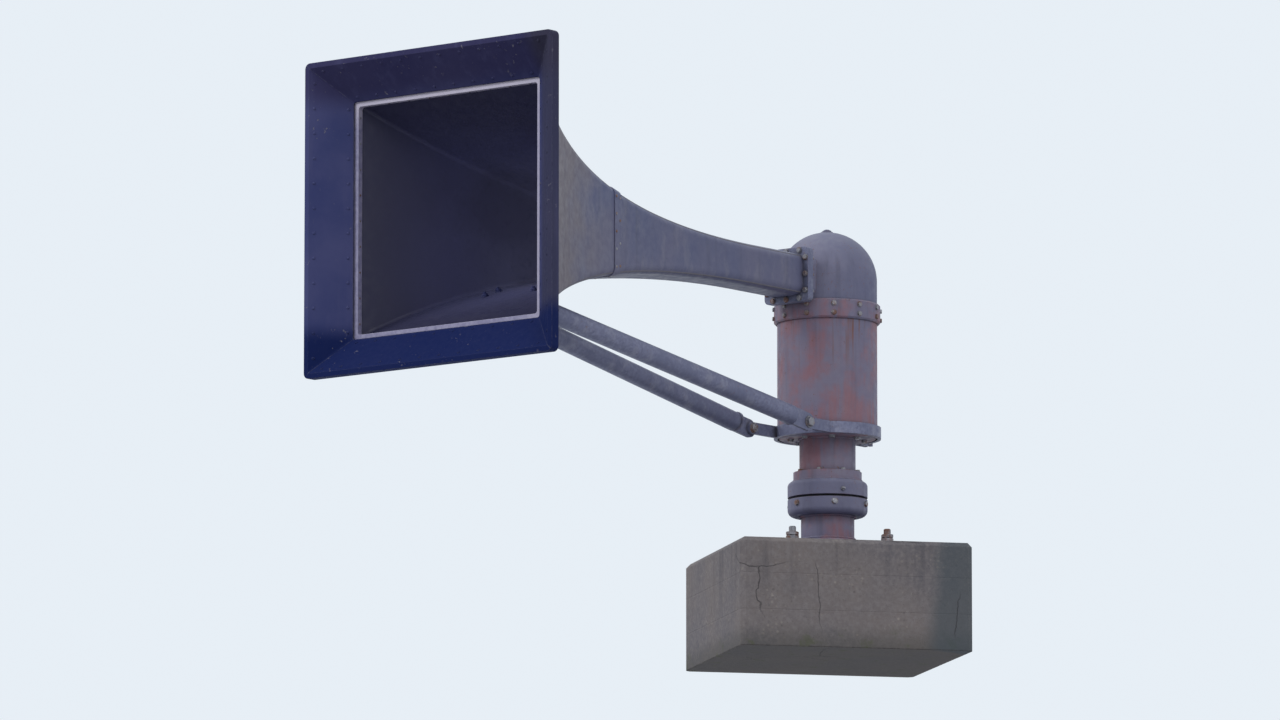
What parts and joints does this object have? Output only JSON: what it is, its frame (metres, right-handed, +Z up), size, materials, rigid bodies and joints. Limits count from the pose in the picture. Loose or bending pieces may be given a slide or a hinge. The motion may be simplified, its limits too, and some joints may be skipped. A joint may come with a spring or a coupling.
{
  "type": "roof-top rotating warning siren",
  "caption": "Rotating outdoor warning siren: one long square horn on a domed housing, on a swivel, standpipe and low concrete plinth.",
  "frame": {"origin": "middle of the plinth's underside, on the axis that the head turns about", "axes": "+Z up along the turning axis, -Y the way the horn points at rest, +X to the right seen from the mouth side behind the horn"},
  "size_m": [0.9046, 2.1873, 1.4843],
  "materials": {
    "concrete": "rough weathered concrete",
    "galvanised_steel": "dull galvanised steel",
    "housing_paint": "weathered matt paint, rust bleeding through",
    "cast_housing": "weathered matt paint on castings",
    "horn_skin": "weathered gelcoat on glass fibre",
    "mouth_dark": "dark faded paint on glass fibre",
    "bead_trim": "dull painted angle trim",
    "hidden_steel": "plain machine paint"
  },
  "bodies": {
    "base": {"plinth_block": "concrete", "base_plate": "galvanised_steel", "standpipe": "housing_paint", "standpipe_foot_ring": "housing_paint", "swivel_collar": "cast_housing", "bearing_ring": "hidden_steel"},
    "head": {"turntable": "cast_housing", "neck_tube": "housing_paint", "housing_pan": "housing_paint", "motor_housing": "housing_paint", "motor": "hidden_steel", "chopper_rotor": "hidden_steel", "housing_band": "housing_paint", "chopper_casing": "cast_housing", "throat_flange": "galvanised_steel", "neck_top": "horn_skin", "neck_right": "horn_skin", "neck_bottom": "horn_skin", "neck_left": "horn_skin", "bell_top": "horn_skin", "bell_right": "horn_skin", "bell_bottom": "horn_skin", "bell_left": "horn_skin", "lip_top": "mouth_dark", "lip_right": "mouth_dark", "lip_bottom": "mouth_dark", "lip_left": "mouth_dark", "mouth_bead": "bead_trim", "bell_saddle": "galvanised_steel", "brace_yoke": "galvanised_steel", "brace_left": "galvanised_steel", "brace_right": "galvanised_steel", "brace_top_pin_left": "galvanised_steel", "brace_top_pin_right": "galvanised_steel", "brace_foot_pin_left": "galvanised_steel", "brace_foot_pin_right": "galvanised_steel"}
  },
  "joints": [
    {"name": "head_turn", "type": "hinge", "parent": "base", "child": "head", "pos_m": [0, 0, 0.454], "axis": [0, 0, 1], "continuous": true}
  ]
}
